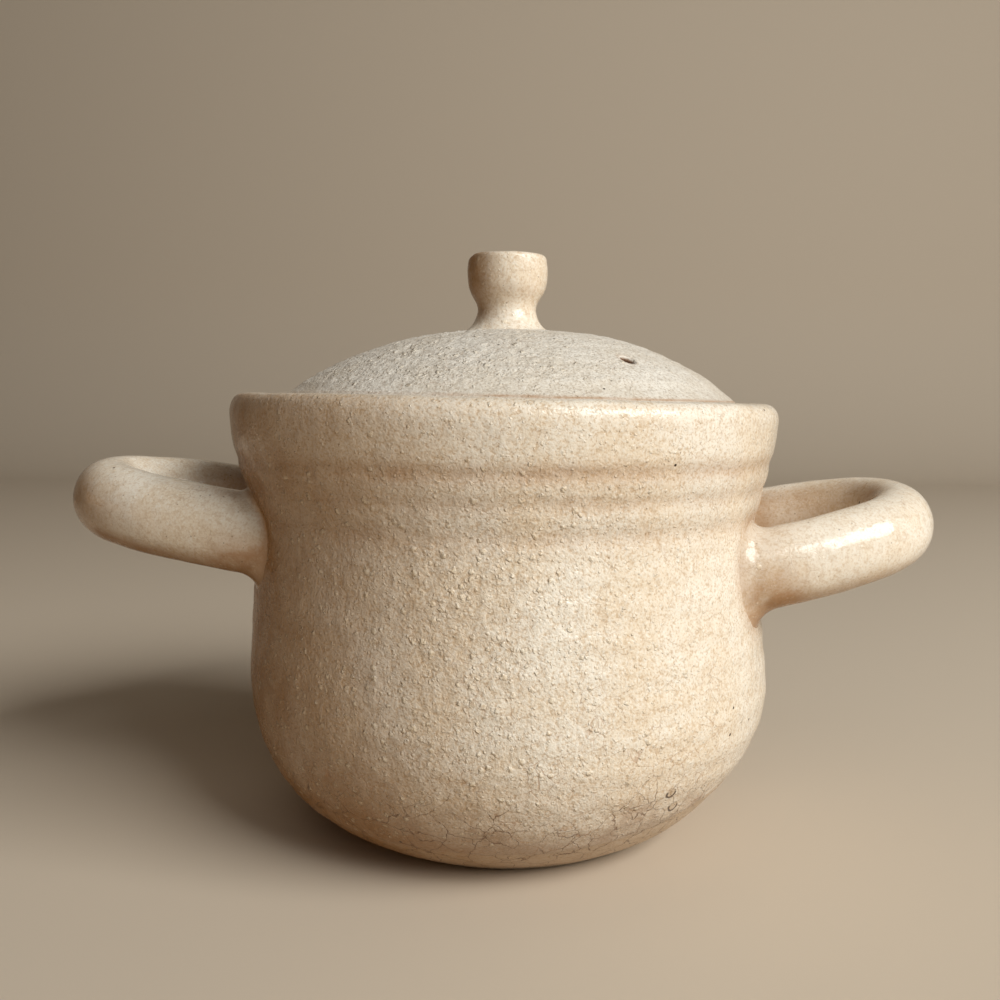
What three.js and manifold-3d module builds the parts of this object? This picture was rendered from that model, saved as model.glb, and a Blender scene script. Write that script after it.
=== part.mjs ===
// Hand-thrown lidded stoneware pot with two loop handles.
// Millimetres, +Z up. The origin is on the table, on the axis of the pot.
// The loop handles point along -X and +X, and the front of the pot faces -Y.
// Five clay pieces: the pot, its two handles, the lid's dome and the lid's knob.

import * as THREE from 'three';
import { mergeVertices } from 'three/addons/utils/BufferGeometryUtils.js';
import Module from 'manifold-3d';

const wasm = await Module();
wasm.setup();

// Driving dimensions of the pot
const RIM_RADIUS = 84.6; // outside of the rim band
const RIM_TOP = 132.8;
const BELLY_RADIUS = 80.8;
const BELLY_HEIGHT = 52;
const NECK_RADIUS = 78; // slight waist under the rim band
const NECK_HEIGHT = 92;
const CREASE_HEIGHT = 115; // groove under the rim band
const BASE_RADIUS = 48.5;
const LIP_ROUNDING = 6; // height of the rounding over the top of the rim
const BAND_TAPER = 1.2; // how much slimmer the rim band is at its lower edge
const RECESS_RADIUS = 38; // shallow hollow turned into the base
const RECESS_DEPTH = 1.5;
const WALL = 7.8;
const FLOOR = 9;

// Driving dimensions of the lid's seat and the lid
const SEAT_RADIUS = 74.2; // wall around the seat, inside the rim
const SEAT_DEPTH = 10; // ledge below the top of the rim
const LEDGE_RADIUS = 68.3; // mouth inside the ledge
const LID_CLEARANCE = 1.1; // radial play of the lid in its seat
const LID_RISE = 21.4; // top of the dome above the rim
const LID_THICKNESS = 6.5;
const DOME_SHOULDER_RADIUS = 68.5; // where the dome meets the lid's rounded edge
const STEAM_HOLE_DIAMETER = 4;
const STEAM_HOLE_PLACE = [33, -42];
const STEAM_HOLE_TILT = THREE.MathUtils.degToRad(29);

// Driving dimensions of the knob
const KNOB_RADIUS = 12.5;
const KNOB_NECK_RADIUS = 9.3;
const KNOB_FOOT_RADIUS = 11.5;
const KNOB_TOP = 44.8; // above the rim
const KNOB_NECK_HEIGHT = 27.5; // above the rim
const KNOB_EDGE = 3.2; // rounding around the knob's top
const KNOB_DISH = 0.6; // hollow in the knob's flat top

// Driving dimensions of the handles
// side: -1 left, 1 right; reach: outer end, from the pot's axis; root: height of the centre line where it
// starts inside the wall; rise and lean: degrees that the loop slopes up outwards and up to the back;
// square: 2 is an elliptical loop, more is squarer; span: between the centres of the two arms;
// thick and tall: the section, across and up the loop.
const LEFT_HANDLE = {
  side: -1, reach: 137, root: 91.6, rise: 8.3, lean: 2.8, square: 2.06, span: 55, thick: 22.3, tall: 24.2,
};
const RIGHT_HANDLE = {
  side: 1, reach: 134.6, root: 82.2, rise: 11.9, lean: 3.7, square: 2.45, span: 62, thick: 21.2, tall: 23.8,
};
const HANDLE_ROOT_RADIUS = 60; // where a handle's centre line starts, inside the wall

// Fineness and the gap between neighbouring pieces
const GAP = 0.3;
const TURNS = 64;
const KNOB_TURNS = 36;
const CURVE_STEPS = 6;
const HANDLE_STEPS = 32;
const HANDLE_HALF_SIDES = 8; // straight sides on half of a handle's section

const LEDGE_HEIGHT = RIM_TOP - SEAT_DEPTH;
const LID_RADIUS = SEAT_RADIUS - LID_CLEARANCE;

// Points along a path: the ends of straight stretches, and steps along curved ones.
function pathPoints(path) {
  const points = [];
  for (const curve of path.curves) {
    const steps = curve.isLineCurve ? 1 : CURVE_STEPS;
    points.push(...curve.getPoints(steps).slice(0, -1));
  }
  points.push(path.currentPoint.clone());
  return points;
}

// A solid turned about Z from an outline of (radius, height).
function turned(path, turns) {
  const geometry = new THREE.LatheGeometry(pathPoints(path), turns);
  return geometry.rotateX(Math.PI / 2);
}

function toSolid(geometry) {
  const plain = geometry.clone();
  plain.deleteAttribute('normal');
  plain.deleteAttribute('uv');
  const merged = mergeVertices(plain, 1e-4);
  const mesh = new wasm.Mesh({
    numProp: 3,
    vertProperties: Float32Array.from(merged.attributes.position.array),
    triVerts: Uint32Array.from(merged.index.array),
  });
  return new wasm.Manifold(mesh);
}

function toGeometry(solid) {
  const mesh = solid.getMesh();
  const geometry = new THREE.BufferGeometry();
  geometry.setAttribute('position', new THREE.BufferAttribute(mesh.vertProperties, 3));
  geometry.setIndex(new THREE.BufferAttribute(mesh.triVerts, 1));
  geometry.computeVertexNormals();
  return geometry;
}

// The outside of the pot from the edge of its base up to the crease under the rim band.
function addOutside(path, grow) {
  const belly = BELLY_RADIUS + grow;
  const neck = NECK_RADIUS + grow;
  path.bezierCurveTo(BASE_RADIUS + 14, 5, belly + 1, 20, belly, BELLY_HEIGHT);
  path.bezierCurveTo(belly - 0.4, BELLY_HEIGHT + 14, neck + 0.4, NECK_HEIGHT - 12, neck, NECK_HEIGHT);
  path.bezierCurveTo(neck - 0.2, NECK_HEIGHT + 8, neck + 2.6, CREASE_HEIGHT - 9, neck + 4.4, CREASE_HEIGHT - 2);
}

function potGeometry() {
  const path = new THREE.Path();
  path.moveTo(0, RECESS_DEPTH);
  path.lineTo(RECESS_RADIUS, RECESS_DEPTH);
  path.lineTo(RECESS_RADIUS + RECESS_DEPTH, 0);
  path.lineTo(BASE_RADIUS, 0);
  addOutside(path, 0);
  // Crease, rim band and rounded lip
  path.lineTo(NECK_RADIUS + 4.1, CREASE_HEIGHT);
  path.lineTo(RIM_RADIUS - BAND_TAPER, CREASE_HEIGHT + 2);
  path.lineTo(RIM_RADIUS, RIM_TOP - LIP_ROUNDING);
  path.quadraticCurveTo(RIM_RADIUS, RIM_TOP, RIM_RADIUS - LIP_ROUNDING + 1, RIM_TOP);
  path.lineTo(SEAT_RADIUS + 2.5, RIM_TOP);
  path.quadraticCurveTo(SEAT_RADIUS, RIM_TOP, SEAT_RADIUS, RIM_TOP - 2.5);
  // Seat for the lid
  path.lineTo(SEAT_RADIUS, LEDGE_HEIGHT);
  path.lineTo(LEDGE_RADIUS + 1.5, LEDGE_HEIGHT);
  path.quadraticCurveTo(LEDGE_RADIUS, LEDGE_HEIGHT, LEDGE_RADIUS, LEDGE_HEIGHT - 1.5);
  path.lineTo(LEDGE_RADIUS, LEDGE_HEIGHT - 4);
  // Inside wall and floor
  const inside = BELLY_RADIUS - WALL;
  path.bezierCurveTo(LEDGE_RADIUS, LEDGE_HEIGHT - 18, NECK_RADIUS - WALL, NECK_HEIGHT, inside, BELLY_HEIGHT);
  path.bezierCurveTo(inside + 0.5, 28, 58, FLOOR + 1, 38, FLOOR);
  path.lineTo(0, FLOOR);
  return turned(path, TURNS);
}

// The space the pot takes up, filled in and grown by the gap: what the handles are cut back to.
function potEnvelope() {
  const path = new THREE.Path();
  path.moveTo(0, 0);
  path.lineTo(BASE_RADIUS, 0);
  addOutside(path, GAP);
  path.lineTo(NECK_RADIUS + 4.4 + GAP, CREASE_HEIGHT);
  path.lineTo(0, CREASE_HEIGHT);
  return toSolid(turned(path, TURNS));
}

// Centre line of a loop handle: a rounded-square arch that leaves the wall, goes out and comes back.
class LoopCurve extends THREE.Curve {
  constructor({ side, reach, root, rise, lean, square, span, thick, tall }) {
    super();
    const riseAngle = THREE.MathUtils.degToRad(rise);
    const halfWidth = Math.hypot(thick * Math.cos(riseAngle), tall * Math.sin(riseAngle)) / 2;
    this.depth = (reach - halfWidth - HANDLE_ROOT_RADIUS) / Math.cos(riseAngle);
    this.halfSpan = span / 2;
    this.power = 2 / square;
    this.tilt = new THREE.Matrix4()
      .makeTranslation(side * HANDLE_ROOT_RADIUS, 0, root)
      .multiply(new THREE.Matrix4().makeScale(side, 1, 1))
      .multiply(new THREE.Matrix4().makeRotationY(-riseAngle))
      .multiply(new THREE.Matrix4().makeRotationX(THREE.MathUtils.degToRad(lean)));
  }

  getPoint(t, target = new THREE.Vector3()) {
    const angle = (t - 0.5) * Math.PI;
    const out = this.depth * Math.abs(Math.cos(angle)) ** this.power;
    const across = this.halfSpan * Math.sign(angle) * Math.abs(Math.sin(angle)) ** this.power;
    return target.set(out, across, 0).applyMatrix4(this.tilt);
  }
}

function handleGeometry(handle) {
  const section = new THREE.Shape().absellipse(0, 0, handle.thick / 2, handle.tall / 2, 0, 2 * Math.PI);
  const loop = new THREE.ExtrudeGeometry(section, {
    extrudePath: new LoopCurve(handle),
    steps: HANDLE_STEPS,
    curveSegments: HANDLE_HALF_SIDES,
  });
  return toGeometry(toSolid(loop).subtract(potEnvelope()));
}

// The dome's upper surface, from the shoulder of its edge in to the axis.
function addDome(path, rise) {
  path.bezierCurveTo(50, RIM_TOP + rise - 7.5, 28, RIM_TOP + rise, 0, RIM_TOP + rise);
}

function steamHole() {
  const radius = STEAM_HOLE_DIAMETER / 2;
  const hole = new THREE.CylinderGeometry(radius, radius, 4 * LID_THICKNESS, 20);
  hole.rotateX(Math.PI / 2);
  hole.rotateY(STEAM_HOLE_TILT);
  const [x, y] = STEAM_HOLE_PLACE;
  hole.rotateZ(Math.atan2(y, x));
  return toSolid(hole.translate(x, y, RIM_TOP + 8));
}

function domeGeometry() {
  const path = new THREE.Path();
  const foot = LEDGE_HEIGHT + GAP;
  const inside = RIM_TOP + LID_RISE - LID_THICKNESS;
  path.moveTo(0, inside);
  path.bezierCurveTo(28, inside, 49, inside - 8, LID_RADIUS - LID_THICKNESS, foot);
  path.lineTo(LID_RADIUS - 1, foot);
  path.lineTo(LID_RADIUS, foot + 1);
  path.lineTo(LID_RADIUS, RIM_TOP - 5);
  path.quadraticCurveTo(LID_RADIUS, RIM_TOP - 2, DOME_SHOULDER_RADIUS, RIM_TOP + 1);
  addDome(path, LID_RISE);
  return toGeometry(toSolid(turned(path, TURNS)).subtract(steamHole()));
}

// The space under the knob, grown by the gap: what the knob's foot is cut back to.
function domeEnvelope() {
  const path = new THREE.Path();
  path.moveTo(0, RIM_TOP);
  path.lineTo(DOME_SHOULDER_RADIUS, RIM_TOP);
  path.lineTo(DOME_SHOULDER_RADIUS, RIM_TOP + 1);
  addDome(path, LID_RISE + GAP);
  return toSolid(turned(path, TURNS));
}

function knobGeometry() {
  const path = new THREE.Path();
  const top = RIM_TOP + KNOB_TOP;
  const neck = RIM_TOP + KNOB_NECK_HEIGHT;
  const foot = RIM_TOP + LID_RISE;
  path.moveTo(0, foot - 3);
  path.lineTo(KNOB_FOOT_RADIUS + 1, foot - 3);
  path.quadraticCurveTo(KNOB_NECK_RADIUS, foot + 1, KNOB_NECK_RADIUS, neck);
  path.bezierCurveTo(KNOB_NECK_RADIUS, neck + 4, KNOB_RADIUS, neck + 4, KNOB_RADIUS, neck + 10.5);
  path.lineTo(KNOB_RADIUS, top - KNOB_EDGE);
  path.quadraticCurveTo(KNOB_RADIUS, top, KNOB_RADIUS - KNOB_EDGE, top);
  path.lineTo(0, top - KNOB_DISH);
  return toGeometry(toSolid(turned(path, KNOB_TURNS)).subtract(domeEnvelope()));
}

const glaze = {
  cream: new THREE.MeshStandardMaterial({ color: '#cdb591', roughness: 0.3, metalness: 0 }),
  tan: new THREE.MeshStandardMaterial({ color: '#c3a37a', roughness: 0.3, metalness: 0 }),
  grey: new THREE.MeshStandardMaterial({ color: '#b5a48c', roughness: 0.42, metalness: 0 }),
};

const pot = new THREE.Group();

function addPiece(parent, name, geometry, material) {
  const mesh = new THREE.Mesh(geometry, material);
  mesh.name = name;
  parent.add(mesh);
}

addPiece(pot, 'pot_body', potGeometry(), glaze.cream);
addPiece(pot, 'handle_left', handleGeometry(LEFT_HANDLE), glaze.tan);
addPiece(pot, 'handle_right', handleGeometry(RIGHT_HANDLE), glaze.tan);

const lid = new THREE.Group();
addPiece(lid, 'lid_dome', domeGeometry(), glaze.grey);
addPiece(lid, 'lid_knob', knobGeometry(), glaze.grey);

const object = new THREE.Group();
object.add(pot, lid);

export default object;
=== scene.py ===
"""Looks of a lidded stoneware pot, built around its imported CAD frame.

Shapes are worked out in millimetres and written to meshes in metres. The pot's axis is the Z axis of the
frame, its front faces -Y, and its handles point along -X and +X.
"""

import bpy
import numpy as np
from mathutils import Matrix, Vector


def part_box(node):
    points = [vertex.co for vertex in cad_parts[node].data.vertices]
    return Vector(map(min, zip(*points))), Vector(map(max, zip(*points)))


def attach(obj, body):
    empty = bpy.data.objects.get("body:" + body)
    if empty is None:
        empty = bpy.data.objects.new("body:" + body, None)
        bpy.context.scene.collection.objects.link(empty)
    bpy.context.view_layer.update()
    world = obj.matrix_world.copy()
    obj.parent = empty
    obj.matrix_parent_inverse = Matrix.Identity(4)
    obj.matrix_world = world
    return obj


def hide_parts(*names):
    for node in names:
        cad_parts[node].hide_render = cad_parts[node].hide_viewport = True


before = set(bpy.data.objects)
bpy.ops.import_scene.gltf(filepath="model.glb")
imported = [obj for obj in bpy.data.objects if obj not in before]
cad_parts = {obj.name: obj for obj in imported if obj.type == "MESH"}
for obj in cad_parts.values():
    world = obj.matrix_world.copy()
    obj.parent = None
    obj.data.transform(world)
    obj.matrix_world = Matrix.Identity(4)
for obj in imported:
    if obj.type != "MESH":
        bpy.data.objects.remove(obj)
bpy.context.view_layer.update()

MM = 0.001

# From the frame
POT_LOW, POT_HIGH = (np.array(corner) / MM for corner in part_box("pot_body"))
LID_LOW, LID_HIGH = (np.array(corner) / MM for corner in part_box("lid_dome"))
KNOB_LOW, KNOB_HIGH = (np.array(corner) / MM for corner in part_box("lid_knob"))
RIM_RADIUS = (POT_HIGH[1] - POT_LOW[1]) / 2
RIM_TOP = POT_HIGH[2]
LID_RADIUS = (LID_HIGH[1] - LID_LOW[1]) / 2
LID_FOOT = LID_LOW[2]
DOME_TOP = LID_HIGH[2]
KNOB_RADIUS = (KNOB_HIGH[1] - KNOB_LOW[1]) / 2
KNOB_TOP = KNOB_HIGH[2]

# The pot's section
BELLY_RADIUS, BELLY_HEIGHT = 80.8, 52
NECK_RADIUS, NECK_HEIGHT = 78, 92
CREASE_HEIGHT = 115
BASE_RADIUS = 48.5
RECESS_RADIUS, RECESS_DEPTH = 38, 1.5
WALL, FLOOR, FLOOR_RADIUS = 7.8, 9, 38
SEAT_RADIUS, LEDGE_RADIUS = 74.2, 68.3
LEDGE_HEIGHT = LID_FOOT - 0.3
LEAN_LOW, LEAN_RIM = 0.5, -0.8  # sideways wander of the axis, at the belly and at the rim
RIM_DIP, RIM_CREST = 1.1, 0.5  # how much lower the rim's right edge is, and how much higher its front

# Grooves and ridges in the neck: mm under the crease, mm outwards, and width
NECK_RINGS = ((8.2, -0.42, 2.0), (12, 0.22, 2.4), (17, -0.45, 2.4), (21, 0.2, 2.6))
# The ones where brown glaze gathers: mm under the crease, share, and width
STAINED_RINGS = ((0.5, 1, 2.8), (8.2, 0.55, 2.4), (17, 0.5, 3))
RING_PITCH = 8.5  # of the finger marks that wind up the belly

# The lid and the knob
LID_THICKNESS = 6.5
SHOULDER_RADIUS = 68.5
LID_FULLNESS, LID_TILT = 0.9, 0.6  # how full the dome is halfway down, and how much fuller on the right
HOLE_RADIUS, HOLE_PLACE, HOLE_TILT = 2.0, (33, -42), np.radians(29)
HOLE_TURN = np.arctan2(HOLE_PLACE[1], HOLE_PLACE[0])
NECK_OF_KNOB, KNOB_NECK_HEIGHT = 9.3, 27.5
KNOB_FILLET = 5.6

# The handles, as in the CAD: reach, height of the root, rise and lean in degrees, squareness, span,
# and the section; then the fillets at their roots: above, beside and below; then how brown the joint is,
# and how far the brown reaches on the pot
HANDLES = {
    "handle_left": {
        "side": -1, "reach": 137, "root": 91.6, "rise": 8.3, "lean": 2.8, "square": 2.06,
        "span": 55, "thick": 22.3, "tall": 24.2, "fillets": (3.0, 0.7, 5.5), "seed": 3,
        "joint_stain": 0.5, "stain_reach": 30,
    },
    "handle_right": {
        "side": 1, "reach": 134.6, "root": 82.2, "rise": 11.9, "lean": 3.7, "square": 2.45,
        "span": 62, "thick": 21.2, "tall": 23.8, "fillets": (5.0, 4.5, 6.5), "seed": 5,
        "joint_stain": 0.15, "stain_reach": 20,
    },
}
HANDLE_ROOT_RADIUS = 60
SUNK = (-1.6, -0.7)  # where a handle's first two rings are, in mm outwards from the wall

# Fineness of the meshes
POT_TURNS, LID_TURNS, KNOB_TURNS = 480, 560, 160
HANDLE_STEPS, HANDLE_SIDES, FILLET_STEPS = 230, 112, 12

# The camera: where the picture was taken from
CAMERA_DISTANCE, CAMERA_HEIGHT, CAMERA_SIDE = 331, 133, -1.85
CAMERA_PITCH, CAMERA_ROLL = np.radians(5.62), np.radians(0.4)
CAMERA_LENS = 37.3

# Where two little chips are, low on the right of the front
CHIPS = ((43.8, -63.6, 28.9), (45.3, -59.7, 23.6))

# Colours. Each of the first two sets: thick glaze, thin glaze, and the clay that shows through it
WARM_COLOURS = ((0.9, 0.825, 0.7), (0.84, 0.72, 0.56), (0.54, 0.35, 0.18))
# The lid's set is greyer than the pot's: partly the lid's own glaze, partly painted cool skylight on its
# upward faces
LID_COLOURS_AND_SKYLIGHT = ((0.84, 0.79, 0.7), (0.76, 0.69, 0.58), (0.42, 0.33, 0.24))
PALE_SAND, TAN_GRAIN = (0.94, 0.9, 0.82), (0.9, 0.77, 0.56)
# The second colour here is for amber glaze and for painted warm shade as well
POOLED_BROWN, AMBER_AND_SHADE = (0.42, 0.2, 0.07), (0.29, 0.125, 0.018)
SMOKED_CLAY, TRIMMED_CLAY = (0.4, 0.29, 0.22), (0.45, 0.29, 0.15)
HAIR_BROWN, CRACK_BROWN = (0.4, 0.21, 0.1), (0.17, 0.085, 0.04)
PINHOLE_BLACK, PEPPER_BROWN = (0.06, 0.035, 0.02), (0.22, 0.13, 0.07)
CHIP_TAN, CHIP_EDGE = (0.5, 0.33, 0.18), (0.06, 0.03, 0.015)
# Brown clay in the steam hole, with painted shade
HOLE_BROWN_AND_SHADE = (0.24, 0.11, 0.045)
STAGE_PAPER = (0.6, 0.51, 0.4)


# --- Repeatable noise ---------------------------------------------------------------------------------

def hashed(cells, seed):
    """A repeatable number from 0 to 1 for each whole-number cell."""
    primes = np.array([73856093, 19349663, 83492791], np.int64)
    mixed = np.bitwise_xor.reduce(cells.astype(np.int64) * primes, axis=-1) + seed * 2654435761
    mixed = (mixed ^ (mixed >> 15)) * 2246822519 & 0x7FFFFFFF
    mixed = (mixed ^ (mixed >> 13)) * 3266489917 & 0x7FFFFFFF
    return (mixed ^ (mixed >> 16)) % 65521 / 65520


def noise(points, size, seed):
    """Smooth noise from -1 to 1, with features about `size` across."""
    places = points / size + 31.7 * seed
    cells = np.floor(places)
    part = places - cells
    part = part * part * (3 - 2 * part)
    total = np.zeros(len(points))
    for corner in np.ndindex(2, 2, 2):
        weight = np.prod(np.where(corner, part, 1 - part), axis=1)
        total += weight * hashed(cells + corner, seed)
    return 2 * total - 1


def crags(points, size, threshold, seed):
    """Irregular little peaks about `size` across, up to 1 high, where the noise is over a threshold."""
    shift = np.stack([noise(points, size * 1.4, seed + axis) for axis in range(3)], axis=-1)
    places = points + 0.25 * size * shift
    height = noise(places, size, seed + 3) + 0.45 * noise(places, size / 2.1, seed + 4)
    return np.clip((height - threshold) / (1.3 - threshold), 0, 1)


def ramp(value, low, high):
    """0 below `low`, 1 above `high`, smooth between."""
    share = np.clip((value - low) / (high - low), 0, 1)
    return share * share * (3 - 2 * share)


def hump(value, middle, width):
    """1 at `middle`, falling off smoothly on both sides."""
    return np.exp(-(((value - middle) / width) ** 2))


def degrees_round(points):
    """Degrees around the axis from the front, positive to the right."""
    return np.degrees(np.arctan2(points[:, 0], -points[:, 1]))


def sampled(points, run, places):
    """Points at `places` along a row of points, whose own places are `run`."""
    return np.stack([np.interp(places, run, points[:, axis]) for axis in range(3)], axis=-1)


# --- Outlines and meshes ------------------------------------------------------------------------------

def curve(points, steps):
    """Points along a straight line, or a quadratic or cubic Bezier curve, without the last one."""
    corners = np.array(points, float)
    share = np.linspace(0, 1, steps, endpoint=False)[:, None]
    layers = [np.repeat(corners[i][None], steps, axis=0) for i in range(len(corners))]
    while len(layers) > 1:
        layers = [a * (1 - share) + b * share for a, b in zip(layers, layers[1:])]
    return layers[0]


def outline(*stretches):
    """One outline of (radius, height) from stretches of (corner points, steps), closed on the axis."""
    parts = [curve(points, steps) for points, steps in stretches]
    return np.concatenate(parts + [np.array([stretches[-1][0][-1]], float)])


def turned(profile, turns):
    """Vertices and faces of a profile turned about Z. Its first and last points are on the axis."""
    angles = np.linspace(0, 2 * np.pi, turns, endpoint=False)
    rings = profile[1:-1]
    radius = np.repeat(rings[:, 0], turns)
    around = np.tile(angles, len(rings))
    height = np.repeat(rings[:, 1], turns)
    points = np.stack([radius * np.cos(around), radius * np.sin(around), height], axis=1)
    ends = [[0, 0, profile[0][1]], [0, 0, profile[-1][1]]]
    points = np.concatenate([points, ends])
    return points, tube_faces(len(rings), turns)


def tube_faces(rings, sides):
    """Quads between rings of vertices, and a fan to one more vertex at each end."""
    column = np.arange(sides)
    ahead = (column + 1) % sides
    start = (np.arange(rings - 1) * sides)[:, None]
    above = start + sides
    quads = np.stack([start + column, start + ahead, above + ahead, above + column], axis=-1)
    first, last = rings * sides, rings * sides + 1
    top = (rings - 1) * sides
    low_fan = np.stack([ahead, column, np.full(sides, first)], axis=-1)
    high_fan = np.stack([top + column, top + ahead, np.full(sides, last)], axis=-1)
    return quads.reshape(-1, 4).tolist() + low_fan.tolist() + high_fan.tolist()


def normals_of(points, faces):
    """Smooth vertex normals."""
    mesh = bpy.data.meshes.new("scratch")
    mesh.from_pydata(points.tolist(), [], faces)
    mesh.update()
    found = np.zeros(len(points) * 3)
    mesh.vertex_normals.foreach_get("vector", found)
    bpy.data.meshes.remove(mesh)
    return found.reshape(-1, 3)


def piece(name, body, points, faces, marks):
    """A finished piece, with its surface marks, that stands for the CAD node of the same name."""
    mesh = bpy.data.meshes.new(name)
    mesh.from_pydata((points * MM).tolist(), [], faces)
    mesh.shade_smooth()
    for mark, values in marks.items():
        layer = mesh.attributes.new(mark, "FLOAT", "POINT")
        layer.data.foreach_set("value", values.astype(np.float32))
    made = bpy.data.objects.new(name + "_clay", mesh)
    bpy.context.scene.collection.objects.link(made)
    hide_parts(name)
    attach(made, body)
    return made


# --- The pot ------------------------------------------------------------------------------------------

def pot_outline():
    """The pot's section, from under the base, up the outside, over the rim and down to the floor."""
    inside = BELLY_RADIUS - WALL
    lip = RIM_RADIUS + 0.1
    neck_end = (NECK_RADIUS + 4.4, CREASE_HEIGHT - 2)
    return outline(
        ([(0, RECESS_DEPTH), (RECESS_RADIUS, RECESS_DEPTH)], 5),
        ([(RECESS_RADIUS, RECESS_DEPTH), (RECESS_RADIUS + 1, 0), (RECESS_RADIUS + 3, 0)], 4),
        ([(RECESS_RADIUS + 3, 0), (BASE_RADIUS - 1, 0)], 3),
        ([(BASE_RADIUS - 1, 0), (BASE_RADIUS + 0.6, 0), (BASE_RADIUS + 2, 0.9)], 4),
        ([(BASE_RADIUS + 2, 0.9), (BASE_RADIUS + 14.5, 6), (BELLY_RADIUS + 1, 20),
          (BELLY_RADIUS, BELLY_HEIGHT)], 56),
        ([(BELLY_RADIUS, BELLY_HEIGHT), (BELLY_RADIUS - 0.4, BELLY_HEIGHT + 14),
          (NECK_RADIUS + 0.4, NECK_HEIGHT - 12), (NECK_RADIUS, NECK_HEIGHT)], 36),
        ([(NECK_RADIUS, NECK_HEIGHT), (NECK_RADIUS - 0.2, NECK_HEIGHT + 8),
          (NECK_RADIUS + 2.6, CREASE_HEIGHT - 9), neck_end], 22),
        ([neck_end, (NECK_RADIUS + 5.4, CREASE_HEIGHT + 2), (lip - 0.5, CREASE_HEIGHT + 5),
          (lip, RIM_TOP - 6)], 15),
        ([(lip, RIM_TOP - 6), (lip + 0.1, RIM_TOP), (lip - 5, RIM_TOP)], 12),
        ([(lip - 5, RIM_TOP), (SEAT_RADIUS + 2.5, RIM_TOP)], 3),
        ([(SEAT_RADIUS + 2.5, RIM_TOP), (SEAT_RADIUS, RIM_TOP), (SEAT_RADIUS, RIM_TOP - 2.5)], 6),
        ([(SEAT_RADIUS, RIM_TOP - 2.5), (SEAT_RADIUS, LEDGE_HEIGHT + 0.8)], 4),
        ([(SEAT_RADIUS, LEDGE_HEIGHT + 0.8), (SEAT_RADIUS, LEDGE_HEIGHT),
          (SEAT_RADIUS - 0.8, LEDGE_HEIGHT)], 3),
        ([(SEAT_RADIUS - 0.8, LEDGE_HEIGHT), (LEDGE_RADIUS + 1.5, LEDGE_HEIGHT)], 3),
        ([(LEDGE_RADIUS + 1.5, LEDGE_HEIGHT), (LEDGE_RADIUS, LEDGE_HEIGHT),
          (LEDGE_RADIUS, LEDGE_HEIGHT - 2)], 4),
        ([(LEDGE_RADIUS, LEDGE_HEIGHT - 2), (LEDGE_RADIUS, LEDGE_HEIGHT - 18),
          (NECK_RADIUS - WALL, NECK_HEIGHT), (inside, BELLY_HEIGHT)], 9),
        ([(inside, BELLY_HEIGHT), (inside + 0.5, 28), (58, FLOOR + 1), (FLOOR_RADIUS, FLOOR)], 9),
        ([(FLOOR_RADIUS, FLOOR), (0, FLOOR)], 3),
    )


def lean_at(height):
    """How far the axis wanders along X at a height."""
    return LEAN_LOW + (LEAN_RIM - LEAN_LOW) * ramp(height, BELLY_HEIGHT, RIM_TOP)


OUTSIDE = np.array([p for p in pot_outline() if p[0] > BASE_RADIUS and p[1] > 0.5])
OUTSIDE = OUTSIDE[: int(np.argmax(OUTSIDE[:, 1]))]


def wall_distance(points):
    """How far points are outside the pot's wall, measured along the radius."""
    radius = np.hypot(points[..., 0] - lean_at(points[..., 2]), points[..., 1])
    return radius - np.interp(points[..., 2], OUTSIDE[:, 1], OUTSIDE[:, 0])


def throwing_rings(points):
    """The grooves and ridges that the potter's fingers left, in mm outwards."""
    around = np.arctan2(points[:, 1], points[:, 0])
    height = points[:, 2] + 0.9 * noise(points * (1, 1, 0.2), 60, 11)
    fade = 0.65 + 0.35 * noise(points * (1, 1, 0.3), 42, 12)
    depth = -0.5 * hump(height, CREASE_HEIGHT - 0.5, 2.0) * (0.6 + 0.4 * fade)
    for below, out, width in NECK_RINGS:
        depth += out * fade * hump(height, CREASE_HEIGHT - below, width)
    turn = (points[:, 2] + around / (2 * np.pi) * RING_PITCH) / RING_PITCH
    low = ramp(points[:, 2], 8, 20) * (1 - ramp(points[:, 2], 88, 96))
    return depth + 0.13 * low * fade * np.sin(2 * np.pi * turn)


def slow_shape(points):
    """Unevenness of the throwing, in mm outwards: slow lumps, and a fuller, lower-cut right side."""
    around = degrees_round(points)
    right = hump(around, 85, 50)
    full = 1.3 * hump(points[:, 2], 41, 12) + 0.4 * hump(points[:, 2], 62, 16)
    full -= 1.4 * hump(points[:, 2], 14, 11)
    return right * full + 0.32 * noise(points, 48, 1)


def rim_lift(points):
    """How far the rim's top edge is above its mean height: high at the front, low on the right."""
    around = degrees_round(points)
    return RIM_CREST * hump(around, -30, 50) - RIM_DIP * points[:, 0] / RIM_RADIUS


def trim_line(points):
    """Height of the line under which the belly was trimmed: higher on the front right."""
    around = degrees_round(points)
    return 12.5 + 11 * hump(around, 62, 26) + 1.2 * noise(points * (1, 1, 0), 25, 21)


def outer_share(points):
    """1 on the outside of the pot up to the lip, 0 inside and underneath."""
    near = 1 - ramp(-wall_distance(points), 2.5, 4.5)
    return near * ramp(points[:, 2], 0.2, 2.5) * (1 - ramp(points[:, 2], RIM_TOP - 0.8, RIM_TOP + 0.5))


def grit_on_pot(points):
    """How gritty the glaze is, 0 to 1: most on the front's lower left, least on the right and the rim."""
    around = degrees_round(points)
    patch = 0.5 + 0.5 * noise(points, 34, 31)
    front = hump(around, -28, 48) * ramp(points[:, 2], 8, 24) * (1 - 0.4 * ramp(points[:, 2], 70, 118))
    back = hump(abs(around), 180, 70) * 0.5
    right = hump(around, 75, 34)
    share = 0.22 + 0.6 * front + back * patch + 0.25 * patch
    return np.clip(share * (1 - 0.6 * right) * (1 - 0.5 * ramp(points[:, 2], 114, 120)), 0, 1)


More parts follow.
